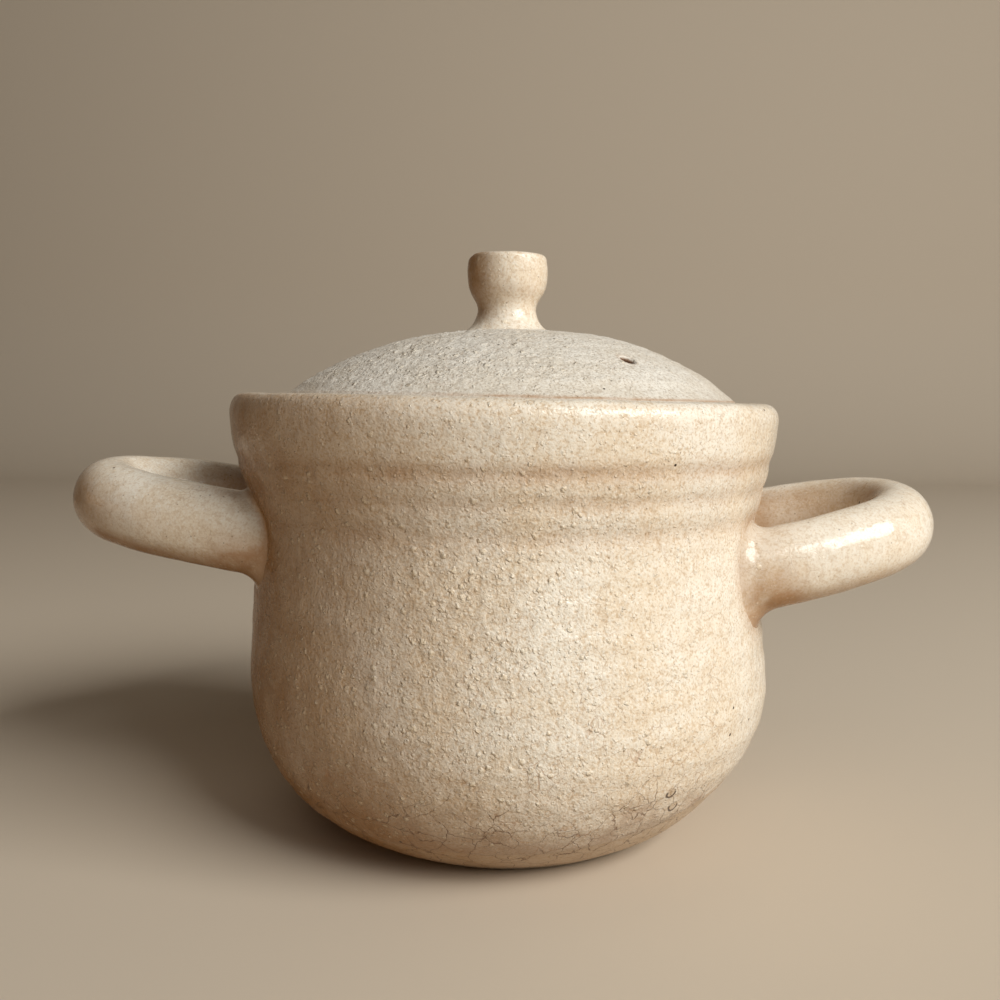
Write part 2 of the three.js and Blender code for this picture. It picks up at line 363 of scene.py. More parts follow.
def amber_and_painted_shade_on_pot(points):
    """Amber glaze and painted warm shade, 0 to 1: down the left side, away from the window light, and
    along the foot.
    """
    around = degrees_round(points)
    not_back = ramp(around, -180, -120)
    side = (1 - ramp(around, -68, 10)) * not_back
    side *= 1 - 0.12 * ramp(points[:, 2], 112, 122)
    low = 0.55 * (1 - ramp(points[:, 2], 18, 66)) * (1 - ramp(around, -45, 20)) * not_back
    foot = 0.5 * (1 - ramp(points[:, 2], 10, 42)) * (1 - 0.8 * hump(around, 70, 45))
    cloud = 0.94 + 0.14 * noise(points, 22, 8) + 0.12 * noise(points, 8, 9)
    return (1 - (1 - side) * (1 - low) * (1 - foot)) * np.clip(cloud, 0, 1)


def stain_on_pot(points, outer):
    """Brown in the crease under the rim and around the handles' roots, 0 to 1."""
    crease = sum(share * hump(points[:, 2], CREASE_HEIGHT - below, width)
                 for below, share, width in STAINED_RINGS)
    stain = 0.75 * crease * (0.65 + 0.35 * noise(points, 26, 6) + 0.25 * noise(points, 7, 7))
    for handle in HANDLES.values():
        for root in root_places(handle):
            away = np.linalg.norm((points - root) * (1, 1, 0.85), axis=1)
            stain += 0.55 * (1 - ramp(away, 12, handle["stain_reach"]))
    return np.clip(stain * outer, 0, 1)


def make_pot():
    """The thrown pot, with its unevenness pushed out along the normals."""
    points, faces = turned(pot_outline(), POT_TURNS)
    normals = normals_of(points, faces)
    outer = outer_share(points)
    grit = grit_on_pot(points)
    below_trim = 1 - ramp(points[:, 2], trim_line(points) - 0.6, trim_line(points) + 0.6)
    rise = (throwing_rings(points) + slow_shape(points) - 0.35 * below_trim) * outer
    rise += (0.13 * noise(points, 17, 2) + 0.07 * noise(points, 6.5, 3)) * (0.3 + 0.7 * outer)
    rise += 0.42 * grit * crags(points, 3.2, 0.2, 41) * outer * (1 - 0.6 * below_trim)
    rise += 0.09 * (0.3 + grit) * noise(points, 2.3, 4) * outer
    lip = ramp(points[:, 2], RIM_TOP - 2.5, RIM_TOP) * 0.2
    points = points + normals * (rise + lip * noise(points, 9, 5))[:, None]
    lift = rim_lift(points) * ramp(points[:, 2], RIM_TOP - 9, RIM_TOP)
    points[:, 2] += lift * ramp(np.hypot(points[:, 0], points[:, 1]), SEAT_RADIUS - 2, SEAT_RADIUS + 3)
    points[:, 0] += lean_at(points[:, 2]) * ramp(wall_distance(points), -6, -4)
    marks = {
        "grit": grit * outer,
        "stain": stain_on_pot(points, outer),
        "trimmed": below_trim * outer,
        # Amber glaze, and painted warm shade on the left side and low down
        "amber_and_shade": amber_and_painted_shade_on_pot(points) * outer,
        "outside": outer,
    }
    return piece("pot_body", "pot", points, faces, marks)


# --- The handles --------------------------------------------------------------------------------------

def loop_line(handle, share):
    """Centre line of a loop handle at shares from 0 to 1, front root to back root."""
    rise, lean = np.radians(handle["rise"]), np.radians(handle["lean"])
    half = np.hypot(handle["thick"] * np.cos(rise), handle["tall"] * np.sin(rise)) / 2
    depth = (handle["reach"] - half - HANDLE_ROOT_RADIUS) / np.cos(rise)
    angle = (share - 0.5) * np.pi
    power = 2 / handle["square"]
    out = depth * np.abs(np.cos(angle)) ** power
    across = handle["span"] / 2 * np.sign(angle) * np.abs(np.sin(angle)) ** power
    flat = np.stack([out, across * np.cos(lean), across * np.sin(lean)], axis=-1)
    x = handle["side"] * (HANDLE_ROOT_RADIUS + flat[:, 0] * np.cos(rise) - flat[:, 2] * np.sin(rise))
    z = handle["root"] + flat[:, 0] * np.sin(rise) + flat[:, 2] * np.cos(rise)
    return np.stack([x, flat[:, 1], z], axis=-1)


def root_places(handle):
    """Where the centre line goes through the wall, at the front and at the back."""
    line = loop_line(handle, np.linspace(0, 1, 801))
    inside = wall_distance(line) < 0
    return line[int(np.argmin(inside)) - 1], line[len(line) - int(np.argmin(inside[::-1]))]


def even_line(handle, count):
    """Evenly spaced points on the centre line, with their tangents."""
    fine = loop_line(handle, np.linspace(0, 1, 4001))
    run = np.concatenate([[0], np.cumsum(np.linalg.norm(np.diff(fine, axis=0), axis=1))])
    places = np.linspace(0, run[-1], count)
    line = sampled(fine, run, places)
    tangents = np.gradient(line, axis=0)
    return line, tangents / np.linalg.norm(tangents, axis=1)[:, None]


def handle_surface(handle):
    """Rows of points around the loop: [step, side, xyz], and the outward directions."""
    line, tangents = even_line(handle, HANDLE_STEPS * 3)
    plane = np.cross(tangents[len(tangents) // 2], line[-1] - line[0])
    up = plane / np.linalg.norm(plane)
    up = up * np.sign(up[2])
    beside = np.cross(up, tangents)
    beside /= np.linalg.norm(beside, axis=1)[:, None]
    above = np.cross(tangents, beside)
    angle = np.linspace(0, 2 * np.pi, HANDLE_SIDES, endpoint=False)
    wide, tall = handle["thick"] / 2 * np.cos(angle), handle["tall"] / 2 * np.sin(angle)
    rows = line[:, None] + beside[:, None] * wide[:, None] + above[:, None] * tall[:, None]
    slope_wide, slope_tall = np.cos(angle) / handle["thick"], np.sin(angle) / handle["tall"]
    out = beside[:, None] * slope_wide[:, None] + above[:, None] * slope_tall[:, None]
    out /= np.linalg.norm(out, axis=2)[..., None]
    return rows, out, angle


def fillet_sizes(handle, angle):
    """Radius of the clay smoothed on at the root, for each side of the section."""
    top, side, bottom = handle["fillets"]
    up = np.sin(angle)
    return side + (top - side) * np.clip(up, 0, 1) ** 2 + (bottom - side) * np.clip(-up, 0, 1) ** 1.5


def half_handle(handle, rows, out, angle, flip):
    """One half of the loop, from just inside the wall to the far end, with its fillet onto the wall."""
    if flip:
        rows, out = rows[::-1], out[::-1]
    middle = len(rows) // 2
    rows, out = rows[: middle + 1], out[: middle + 1]
    run = np.arange(middle + 1)
    away = wall_distance(rows)
    turn = np.linspace(0, np.pi / 2, FILLET_STEPS + 1)
    steps = HANDLE_STEPS // 2 - FILLET_STEPS - 2
    sides = []
    for side, fillet in enumerate(fillet_sizes(handle, angle)):
        distance = np.maximum.accumulate(away[:, side]) + run * 1e-6
        targets = fillet * (1 - np.sin(turn))[::-1]
        offsets = fillet * (1 - np.cos(turn))[::-1]
        at_root = np.interp(targets, distance, run)
        beyond = np.linspace(at_root[-1], middle, steps + 1)[1:]
        below = np.interp(SUNK, distance, run)
        index = np.concatenate([below, at_root, beyond])
        push = np.concatenate([[fillet + 0.4, fillet + 0.1], offsets, np.zeros(steps)])
        spots = sampled(rows[:, side], run, index)
        ways = sampled(out[:, side], run, index)
        sides.append(settled(spots, ways, push, len(below) + FILLET_STEPS + 1))
    made = np.stack(sides, axis=1)
    return made[::-1] if flip else made


def settled(spots, ways, push, fillet_rows):
    """Moves points outwards, and the fillet's ones back to their distance from the curved wall."""
    wanted = wall_distance(spots[:fillet_rows])
    moved = spots + ways * push[:, None]
    for _ in range(3):
        gap = wall_distance(moved[:fillet_rows]) - wanted
        radial = moved[:fillet_rows] * (1, 1, 0)
        radial = radial / np.linalg.norm(radial, axis=1)[:, None]
        moved[:fillet_rows] -= radial * gap[:, None]
    return moved


def handle_marks(handle, points, normals):
    """The handle's surface marks: brown at the roots, and painted warm shade underneath and on the faces
    turned into the loop.
    """
    seed = handle["seed"]
    away = wall_distance(points)
    under = ramp(-normals[:, 2], 0.3, 0.85)
    root = 1 - ramp(away, 3, 22)
    blotch = 0.85 + 0.35 * noise(points, 8, seed + 6) + 0.3 * noise(points, 3, seed + 7)
    # The brown on the undersides is painted shade
    stain = 0.25 * under + 1.6 * root * ramp(-normals[:, 2], -0.5, 0.8) * blotch
    stain += handle["joint_stain"] * (1 - ramp(away, 0.2, 2.5))
    cloud = 0.75 + 0.3 * noise(points, 12, seed + 4)
    # Faces turned into the loop, towards the pot, get painted shade
    inward = np.maximum(-normals[:, 1] * np.sign(points[:, 1]), -normals[:, 0] * handle["side"])
    inner = ramp(inward, 0.1, 0.8) * ramp(away, -1, 4)
    # On the left handle, the side turned away from the pot and the window light gets painted shade as
    # well
    if handle["side"] < 0:
        amber_and_shade = under + 0.9 * inner * (1 - ramp(away, 4, 28))
        amber_and_shade += ramp(-normals[:, 0], 0.1, 0.95)
    else:
        amber_and_shade = 0.65 * under + 0.8 * inner + 0.4 * root
    return {
        "grit": np.clip(0.25 + 0.25 * noise(points, 15, seed + 3) + 0.25 * under, 0, 1),
        "stain": np.clip(stain, 0, 1),
        "amber_and_shade": np.clip(np.clip(amber_and_shade, 0, 1) * cloud, 0, 1),
    }


def make_handle(name, handle):
    """A rolled loop of clay that follows the wall where it joins it."""
    rows, out, angle = handle_surface(handle)
    near = half_handle(handle, rows, out, angle, False)
    far = half_handle(handle, rows, out, angle, True)
    grid = np.concatenate([near, far[1:]])
    ends = [grid[0].mean(axis=0), grid[-1].mean(axis=0)]
    points = np.concatenate([grid.reshape(-1, 3), ends])
    faces = tube_faces(len(grid), HANDLE_SIDES)
    normals = normals_of(points, faces)
    seed = handle["seed"]
    free = ramp(wall_distance(points), 0.5, 6)
    rise = 0.4 * noise(points, 26, seed) + 0.16 * noise(points, 9, seed + 1)
    rise = rise * free + 0.05 * noise(points, 3.2, seed + 2)
    points = points + normals * rise[:, None]
    follow = (throwing_rings(points) + slow_shape(points) - 0.25) * (1 - free)
    points[:, :2] += points[:, :2] / np.linalg.norm(points[:, :2], axis=1)[:, None] * follow[:, None]
    return piece(name, "pot", points, faces, handle_marks(handle, points, normals))


# --- The lid ------------------------------------------------------------------------------------------

def lid_outline():
    """The lid's section, from under the dome, round the seat and over the top."""
    inside = DOME_TOP - LID_THICKNESS
    foot = LID_RADIUS - LID_THICKNESS
    shoulder = (SHOULDER_RADIUS, RIM_TOP + 1)
    return outline(
        ([(0, inside), (28, inside), (49, inside - 8), (foot, LID_FOOT + 0.5)], 22),
        ([(foot, LID_FOOT + 0.5), (foot + 0.3, LID_FOOT), (foot + 1, LID_FOOT)], 3),
        ([(foot + 1, LID_FOOT), (LID_RADIUS - 1.2, LID_FOOT)], 4),
        ([(LID_RADIUS - 1.2, LID_FOOT), (LID_RADIUS, LID_FOOT), (LID_RADIUS, LID_FOOT + 1.2)], 4),
        ([(LID_RADIUS, LID_FOOT + 1.2), (LID_RADIUS, RIM_TOP - 5)], 5),
        ([(LID_RADIUS, RIM_TOP - 5), (LID_RADIUS, RIM_TOP - 2), shoulder], 16),
        ([shoulder, (50, DOME_TOP - 7.5), (28, DOME_TOP), (0, DOME_TOP)], 104),
    )


def dome_height(radius):
    """Height of the lid's top surface at a radius."""
    profile = lid_outline()
    dome = profile[int(np.argmax(profile[:, 0])):][::-1]
    return float(np.interp(radius, dome[:, 0], dome[:, 1])) + LID_FULLNESS * 0.8


def lid_swell(points):
    """Up halfway down the dome, more on its right than on its left, none at its edge or middle."""
    radius = np.hypot(points[:, 0], points[:, 1])
    where = ramp(radius, 6, 40) * (1 - ramp(radius, 60, 72.5))
    return where * (LID_FULLNESS + LID_TILT * points[:, 0] / np.maximum(radius, 1))


def hole_centre():
    """Where the steam hole's axis meets the lid's top surface, in metres."""
    x, y = HOLE_PLACE
    return Vector((x, y, dome_height(np.hypot(x, y)))) * MM


def cut_hole(made):
    """Cuts the steam hole through the lid, square to the dome."""
    mesh = bpy.data.meshes.new("steam_hole_cutter")
    half = 13
    mouth = HOLE_RADIUS + 1.6
    profile = outline(
        ([(0, -half), (HOLE_RADIUS, -half)], 1),
        ([(HOLE_RADIUS, -half), (HOLE_RADIUS, -0.7)], 8),
        ([(HOLE_RADIUS, -0.7), (HOLE_RADIUS, 0), (mouth, 1.2)], 6),
        ([(mouth, 1.2), (mouth, half)], 1),
        ([(mouth, half), (0, half)], 1),
    )
    points, faces = turned(profile, 36)
    points *= (1 + 0.09 * noise(points, 2.5, 81))[:, None] ** (1, 1, 0)
    mesh.from_pydata((points * MM).tolist(), [], faces)
    cutter = bpy.data.objects.new("steam_hole_cutter", mesh)
    bpy.context.scene.collection.objects.link(cutter)
    turn = Matrix.Rotation(HOLE_TURN, 4, "Z") @ Matrix.Rotation(HOLE_TILT, 4, "Y")
    mesh.transform(Matrix.Translation(hole_centre()) @ turn)
    cut = made.modifiers.new("steam_hole", "BOOLEAN")
    cut.object = cutter
    cut.operation = "DIFFERENCE"
    cut.solver = "EXACT"
    apply_modifiers(made)
    bpy.data.objects.remove(cutter)


def apply_modifiers(made):
    """Makes what the modifiers show into the object's own mesh."""
    seen = made.evaluated_get(bpy.context.evaluated_depsgraph_get())
    finished = bpy.data.meshes.new_from_object(seen)
    made.modifiers.clear()
    made.data = finished


def lid_browning(points, around, radius):
    """A dark line along the seam beside the rim, more on the right, darker on the lid's side below the
    rim's top, and brown round the steam hole, 0 to 1.
    """
    hole = np.linalg.norm(points[:, :2] - HOLE_PLACE, axis=1)
    stain = 0.5 * (1 - ramp(hole, 2.4, 3.6))
    seam = hump(points[:, 2], RIM_TOP + rim_lift(points) + 0.4, 0.32)
    stain += 1.3 * seam * (0.3 + 0.7 * ramp(around, -25, 15)) * (0.8 + 0.4 * noise(points, 4, 55))
    stain += 0.8 * (1 - ramp(points[:, 2], RIM_TOP - 3, RIM_TOP - 0.5)) * ramp(radius, 66, 68)
    return np.clip(stain, 0, 1)


def make_lid():
    """The thrown lid, rougher on its left, with the steam hole."""
    points, faces = turned(lid_outline(), LID_TURNS)
    normals = normals_of(points, faces)
    radius = np.hypot(points[:, 0], points[:, 1])
    around = degrees_round(points)
    top = ramp(points[:, 2], RIM_TOP - 1, RIM_TOP + 1.5) * ramp(normals[:, 2], 0, 0.3)
    grit = top * (0.3 + 0.7 * hump(around, -45, 65)) * (1 - 0.7 * ramp(radius, 62, 67))
    rise = 0.25 * noise(points, 40, 51) * top + 0.09 * noise(points, 12, 52)
    rise += 0.05 * np.sin(radius / 5.2 * 2 * np.pi + noise(points, 40, 53)) * top
    rise += 0.42 * grit * crags(points, 2.4, 0.1, 61) + 0.16 * grit * noise(points, 1.9, 54)
    points = points + normals * rise[:, None]
    points[:, 2] += lid_swell(points) * ramp(points[:, 2], LID_FOOT, RIM_TOP)
    marks = {"grit": grit, "stain": lid_browning(points, around, radius)}
    made = piece("lid_dome", "lid", points, faces, marks)
    cut_hole(made)
    return made


def make_knob():
    """The turned knob, with a worn left edge on its top and painted shade on its left side."""
    neck = RIM_TOP + KNOB_NECK_HEIGHT
    foot = DOME_TOP
    widest = (KNOB_RADIUS, neck + 10.5)
    edge = (KNOB_RADIUS - 0.2, KNOB_TOP - 2.0)
    spread = NECK_OF_KNOB + KNOB_FILLET
    profile = outline(
        ([(0, foot - 3), (spread, foot - 3)], 3),
        ([(spread, foot - 3), (spread, foot - 0.95)], 3),
        ([(spread, foot - 0.95), (NECK_OF_KNOB + 0.9, foot + 0.4), (NECK_OF_KNOB, neck)], 26),
        ([(NECK_OF_KNOB, neck), (NECK_OF_KNOB, neck + 4), (KNOB_RADIUS, neck + 4), widest], 28),
        ([widest, (KNOB_RADIUS + 0.1, KNOB_TOP - 5), edge], 8),
        ([edge, (KNOB_RADIUS - 0.3, KNOB_TOP), (KNOB_RADIUS - 2.3, KNOB_TOP)], 12),
        ([(KNOB_RADIUS - 2.3, KNOB_TOP), (0, KNOB_TOP - 0.4)], 8),
    )
    points, faces = turned(profile, KNOB_TURNS)
    normals = normals_of(points, faces)
    free = ramp(points[:, 2], foot, foot + 4)
    rise = 0.3 * noise(points, 13, 71) * free + 0.12 * noise(points, 5, 72) + 0.04 * noise(points, 2, 73)
    points = points + normals * rise[:, None]
    slope = 0.85
    slant = slope * -points[:, 0] + (points[:, 2] - KNOB_TOP) - slope * (KNOB_RADIUS - 2.8)
    slant = np.clip(slant, 0, None)
    points[:, 2] -= 0.45 * slant * ramp(points[:, 2], KNOB_TOP - 6, KNOB_TOP - 2)
    stain = 0.28 * hump(points[:, 2], neck + 5, 4) * (0.7 + 0.5 * noise(points, 5, 74))
    # Painted shade on the knob's left side, away from the window light, carried in the amber mark
    left = (0.04 + 0.85 * ramp(-points[:, 0], 0, 12)) * ramp(points[:, 2], foot, foot + 6)
    marks = {"grit": np.full(len(points), 0.3), "stain": np.clip(stain, 0, 1), "amber_and_shade": left}
    return piece("lid_knob", "lid", points, faces, marks)


# --- Glazes -------------------------------------------------------------------------------------------

class Glaze:
    """A material, short names for the nodes that make it, and the noises that its layers share."""

    def __init__(self, name):
        self.material = bpy.data.materials.new(name)
        self.material.use_nodes = True
        self.tree = self.material.node_tree
        self.surface = self.tree.nodes["Principled BSDF"]
        self.place = self.tree.nodes.new("ShaderNodeTexCoord").outputs["Object"]
        split = self.tree.nodes.new("ShaderNodeSeparateXYZ")
        self.put(split.inputs[0], self.place)
        self.height = split.outputs["Z"]
        self.grit = self.mark("grit")
        self.stain = self.mark("stain")
        self.trimmed = self.mark("trimmed")
        self.amber_and_shade = self.mark("amber_and_shade")
        self.outside = self.mark("outside")
        self.cloud = self.noise(26, 3)
        self.patch = self.noise(6.5, 3, 0.6)
        self.mottle = self.noise(2.0, 2, 0.55)
        self.sand = self.noise(0.7, 2, 0.6)

    def put(self, socket, value):
        """Links a socket to another, or gives it a value."""
        if isinstance(value, bpy.types.NodeSocket):
            self.tree.links.new(value, socket)
        else:
            socket.default_value = value

    def node(self, kind, operation, values):
        """A node of one of the two math kinds."""
        node = self.tree.nodes.new(kind)
        node.operation = operation
        for socket, value in zip(node.inputs, values):
            self.put(socket, value)
        return node

    def math(self, operation, *values):
        return self.node("ShaderNodeMath", operation, values).outputs[0]

    def vector(self, operation, *values):
        return self.node("ShaderNodeVectorMath", operation, values).outputs["Vector"]

    def length(self, operation, *values):
        return self.node("ShaderNodeVectorMath", operation, values).outputs["Value"]

    def add(self, first, *others):
        for other in others:
            first = self.math("ADD", first, other)
        return first

    def times(self, first, *others):
        for other in others:
            first = self.math("MULTIPLY", first, other)
        return first

    def ramp(self, value, low, high, start=0.0, end=1.0):
        """`start` below `low`, `end` above `high`, smooth between."""
        node = self.tree.nodes.new("ShaderNodeMapRange")
        node.interpolation_type = "SMOOTHSTEP"
        for name, given in (("Value", value), ("From Min", low), ("From Max", high),
                            ("To Min", start), ("To Max", end)):
            self.put(node.inputs[name], given)
        return node.outputs["Result"]

    def mix(self, share, first, second):
        """The first colour, with a share of the second over it."""
        node = self.tree.nodes.new("ShaderNodeMix")
        node.data_type = "RGBA"
        self.put(node.inputs[0], share)
        for socket, colour in ((node.inputs[6], first), (node.inputs[7], second)):
            self.put(socket, colour if isinstance(colour, bpy.types.NodeSocket) else (*colour, 1))
        return node.outputs[2]

    def mark(self, name):
        """A mark that the shape carries. It reads as 0 on a piece that doesn't have it."""
        node = self.tree.nodes.new("ShaderNodeAttribute")
        node.attribute_name = name
        return node.outputs["Fac"]

    def noise(self, size, detail=2.0, rough=0.5, output="Fac"):
        """Noise from 0 to 1 with features about `size` mm across."""
        node = self.tree.nodes.new("ShaderNodeTexNoise")
        self.put(node.inputs["Vector"], self.place)
        node.inputs["Scale"].default_value = 1 / (size * MM)
        node.inputs["Detail"].default_value = detail
        node.inputs["Roughness"].default_value = rough
        return node.outputs[output]

    def warped(self, size, amount):
        """The place, pushed by noise of up to `amount` mm, so that lines wander."""
        push = self.noise(size, 3, output="Color")
        return self.vector("MULTIPLY_ADD", push, (amount * MM,) * 3, self.place)

    def cells(self, size, place=None, feature="F1"):
        """Irregular cells about `size` mm across."""
        node = self.tree.nodes.new("ShaderNodeTexVoronoi")
        node.feature = feature
        self.put(node.inputs["Vector"], place or self.place)
        node.inputs["Scale"].default_value = 1 / (size * MM)
        return node

    def cracks(self, size, width, place):
        """1 on the lines between cells of `size` mm, lines about `width` mm wide."""
        edge = self.cells(size, place, "DISTANCE_TO_EDGE").outputs["Distance"]
        return self.ramp(edge, 0.5 * width / size, 1.1 * width / size, 1.0, 0.0)

    def dots(self, spacing, smallest, largest, share, place=None):
        """Dots in `share` of the cells, 0 to 1 high, with radii from `smallest` to `largest` mm.

        They are round unless the place is warped.
        """
        node = self.cells(spacing, place)
        chance = self.tree.nodes.new("ShaderNodeSeparateColor")
        self.put(chance.inputs[0], node.outputs["Color"])
        radius = self.ramp(chance.outputs[0], 0.0, 1.0, smallest / spacing, largest / spacing)
        away = self.math("DIVIDE", node.outputs["Distance"], radius)
        dome = self.math("MAXIMUM", self.math("SUBTRACT", 1.0, self.times(away, away)), 0.0)
        there = self.math("LESS_THAN", chance.outputs[1], share)
        return self.times(dome, there)


def ground(glaze, colours, texture):
    """Glaze over sandy clay, with brown where the shape is stained: pooled glaze, and painted shade on
    the handles' undersides.
    """
    light, middle, deep = colours
    colour = glaze.mix(glaze.ramp(glaze.cloud, 0.36, 0.66), middle, light)
    colour = glaze.mix(glaze.times(glaze.ramp(glaze.patch, 0.45, 0.7), 0.5), colour, light)
    colour = glaze.mix(glaze.times(glaze.ramp(glaze.mottle, 0.52, 0.34), 0.25), colour, deep)
    dark_sand = glaze.times(glaze.ramp(glaze.sand, 0.49, 0.34), 0.5 * np.sqrt(texture))
    colour = glaze.mix(dark_sand, colour, deep)
    colour = glaze.mix(glaze.times(glaze.ramp(glaze.sand, 0.53, 0.68), 0.5), colour, PALE_SAND)
    pooled = glaze.times(glaze.stain, glaze.ramp(glaze.patch, 0.2, 0.7, 0.6, 1.0), 0.8)
    return glaze.mix(pooled, colour, POOLED_BROWN)


def grains(glaze):
    """Large and small grains under the glaze, 0 to 1 high, more of them where it is gritty."""
    ragged = glaze.warped(1.0, 1.3)
    large = glaze.dots(2.5, 0.45, 1.0, glaze.ramp(glaze.grit, 0.2, 0.95, 0.0, 0.7), ragged)
    small = glaze.dots(1.3, 0.25, 0.6, glaze.add(glaze.times(glaze.grit, 0.65), 0.12), ragged)
    return glaze.add(large, glaze.times(small, 0.5))


def wandering_height(glaze):
    """The height, moved up and down by noise."""
    slow = glaze.times(glaze.ramp(glaze.cloud, 0.35, 0.65, -5.0, 5.0), MM)
    quick = glaze.times(glaze.ramp(glaze.patch, 0.35, 0.65, -2.0, 2.0), MM)
    return glaze.add(glaze.height, slow, quick)


def smoked_band(glaze, height):
    """Smoked clay in a band over the trimmed foot."""
    low = glaze.ramp(height, 16 * MM, 27 * MM, 1.0, 0.0)
    return glaze.times(low, glaze.math("SUBTRACT", 1.0, glaze.trimmed), glaze.outside)


def hair_crackle(glaze):
    """Fine crackle, in patches."""
    lines = glaze.cracks(5.2, 0.08, glaze.warped(7, 4.0))
    return glaze.times(lines, glaze.ramp(glaze.noise(12, 2), 0.42, 0.62))


def coarse_crackle(glaze, height):
    """Coarse crackle low on the outside."""
    lines = glaze.cracks(8.0, 0.14, glaze.warped(6, 6.5))
    lines = glaze.times(lines, glaze.outside, glaze.ramp(height, 22 * MM, 36 * MM, 1.0, 0.0))
    return glaze.times(lines, glaze.ramp(glaze.patch, 0.36, 0.54, 0.25, 1.0))


def speckled(glaze, colour):
    """A colour with black pinholes and fine brown pepper over it."""
    pinholes = glaze.dots(9, 0.2, 0.55, 0.28)
    colour = glaze.mix(glaze.ramp(pinholes, 0.1, 0.5), colour, PINHOLE_BLACK)
    pepper = glaze.dots(2.0, 0.14, 0.34, 0.35)
    return glaze.mix(glaze.times(glaze.ramp(pepper, 0.0, 0.5), 0.5), colour, PEPPER_BROWN)


def chipped(glaze, colour, rise, place):
    """A small shell-shaped chip at a place: a tan hollow with a dark lower edge."""
    centre = Vector(place) * MM
    warp = 0.9
    warped_centre = centre + Vector((warp / 2,) * 3) * MM
    away = glaze.length("DISTANCE", glaze.warped(3, warp), warped_centre)
    hollow = glaze.ramp(away, 1.2 * MM, 1.9 * MM, 1.0, 0.0)
    within = glaze.ramp(away, 1.75 * MM, 2.05 * MM, 1.0, 0.0)
    edge = glaze.times(glaze.ramp(away, 1.2 * MM, 1.45 * MM), within)
    low = glaze.ramp(glaze.height, centre.z - 0.1 * MM, centre.z + 0.6 * MM, 1.0, 0.0)
    colour = glaze.mix(glaze.times(hollow, 0.4), colour, CHIP_TAN)
    colour = glaze.mix(glaze.times(edge, low, 0.9), colour, CHIP_EDGE)
    return colour, glaze.add(rise, glaze.times(hollow, -0.15))


def holed(glaze, colour):
    """Bare brown clay inside the steam hole, darkened further as painted shade in the hole."""
    across = np.sin(HOLE_TILT)
    axis = (across * np.cos(HOLE_TURN), across * np.sin(HOLE_TURN), np.cos(HOLE_TILT))
    from_centre = glaze.vector("SUBTRACT", glaze.place, hole_centre())
    away = glaze.length("LENGTH", glaze.vector("CROSS_PRODUCT", from_centre, axis))
    inside = glaze.ramp(away, HOLE_RADIUS * MM, (HOLE_RADIUS + 0.4) * MM, 1.0, 0.0)
    return glaze.mix(glaze.times(inside, 0.92), colour, HOLE_BROWN_AND_SHADE)


def make_glaze(name, colours, texture, smooth, rough, chips=(), hole=False):
    """Crackled glaze over sandy stoneware, from the marks that the shapes carry.

    `colours` are those of the thick glaze, the thin glaze and the clay that shows through it.
    `texture` scales the relief, and the roughness goes from `smooth` to `rough` where it is gritty.
    """
    glaze = Glaze(name)
    peaks = grains(glaze)
    height = wandering_height(glaze)
    smoked = smoked_band(glaze, height)
    hair = hair_crackle(glaze)
    coarse = coarse_crackle(glaze, height)

    colour = ground(glaze, colours, texture)
    colour = glaze.mix(glaze.times(smoked, 0.6), colour, SMOKED_CLAY)
    colour = glaze.mix(glaze.times(glaze.trimmed, 0.4), colour, TRIMMED_CLAY)
    # Amber glaze, with painted warm shade, wherever the amber mark is
    thick = glaze.times(glaze.amber_and_shade, glaze.ramp(glaze.patch, 0.3, 0.6, 0.85, 1.0), 0.97)
    colour = glaze.mix(thick, colour, AMBER_AND_SHADE)
    colour = glaze.mix(glaze.times(peaks, 0.4), colour, TAN_GRAIN)
    hair_strength = glaze.ramp(glaze.height, 25 * MM, 70 * MM, 0.6, 0.26)
    colour = glaze.mix(glaze.times(hair, hair_strength), colour, HAIR_BROWN)
    colour = glaze.mix(glaze.times(coarse, 0.8), colour, CRACK_BROWN)
    colour = speckled(glaze, colour)

    quiet = glaze.ramp(glaze.grit, 0.0, 0.8, 0.45 * texture, texture)
    skin = glaze.add(glaze.times(glaze.sand, 0.2), glaze.times(glaze.mottle, 0.42))
    rise = glaze.add(glaze.times(skin, quiet), glaze.times(peaks, 0.36 * texture))
    rise = glaze.add(rise, glaze.times(hair, -0.03), glaze.times(coarse, -0.12))
    for chip in chips:
        colour, rise = chipped(glaze, colour, rise, chip)
    if hole:
        colour = holed(glaze, colour)
    bump = glaze.tree.nodes.new("ShaderNodeBump")
    bump.inputs["Distance"].default_value = MM
    bump.inputs["Strength"].default_value = 1.0
    glaze.put(bump.inputs["Height"], rise)

    dull = glaze.add(glaze.times(glaze.patch, 0.5), glaze.times(glaze.grit, 0.5))
    shine = glaze.ramp(dull, 0.2, 0.75, smooth, rough)
    shine = glaze.math("SUBTRACT", shine, glaze.times(peaks, 0.1))
    bare = glaze.times(glaze.math("MAXIMUM", smoked, glaze.trimmed), 0.5)
    glaze.put(glaze.surface.inputs["Roughness"], glaze.math("MAXIMUM", shine, bare))
    glaze.put(glaze.surface.inputs["Base Color"], colour)
    glaze.put(glaze.surface.inputs["Normal"], bump.outputs["Normal"])
    glaze.surface.inputs["IOR"].default_value = 1.52
    glaze.surface.inputs["Specular IOR Level"].default_value = 0.32
    return glaze.material


def plain(name, colour, rough):
    """A material of one colour."""
    material = bpy.data.materials.new(name)
    material.use_nodes = True
    surface = material.node_tree.nodes["Principled BSDF"]
    surface.inputs["Base Color"].default_value = (*colour, 1)
    surface.inputs["Roughness"].default_value = rough
    return material


# --- Studio -------------------------------------------------------------------------------------------

